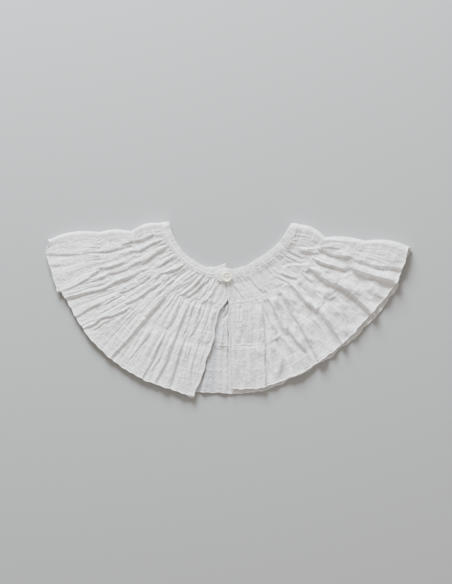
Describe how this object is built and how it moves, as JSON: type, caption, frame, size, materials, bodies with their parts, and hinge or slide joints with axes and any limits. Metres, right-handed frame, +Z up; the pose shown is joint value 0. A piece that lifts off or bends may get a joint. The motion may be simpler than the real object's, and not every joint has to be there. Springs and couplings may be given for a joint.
{
  "type": "ruffled collar",
  "caption": "Tiered gathered cotton collar with a bound neckline and a button, folded in half and laid flat, fronts on top of the back.",
  "frame": {"origin": "middle of the collar's box, on the surface that its back lies on", "axes": "+X along the collar's length to the viewer's right, +Y from the hem towards the neck opening, +Z up out of the surface"},
  "size_m": [0.4003, 0.1913, 0.0107],
  "materials": {
    "cotton": "matt white crinkled cotton voile",
    "button": "cream, softly polished"
  },
  "bodies": {
    "root": {"neckband": "cotton", "tier_1": "cotton", "tier_2": "cotton", "tier_3": "cotton", "button": "button"}
  },
  "joints": []
}
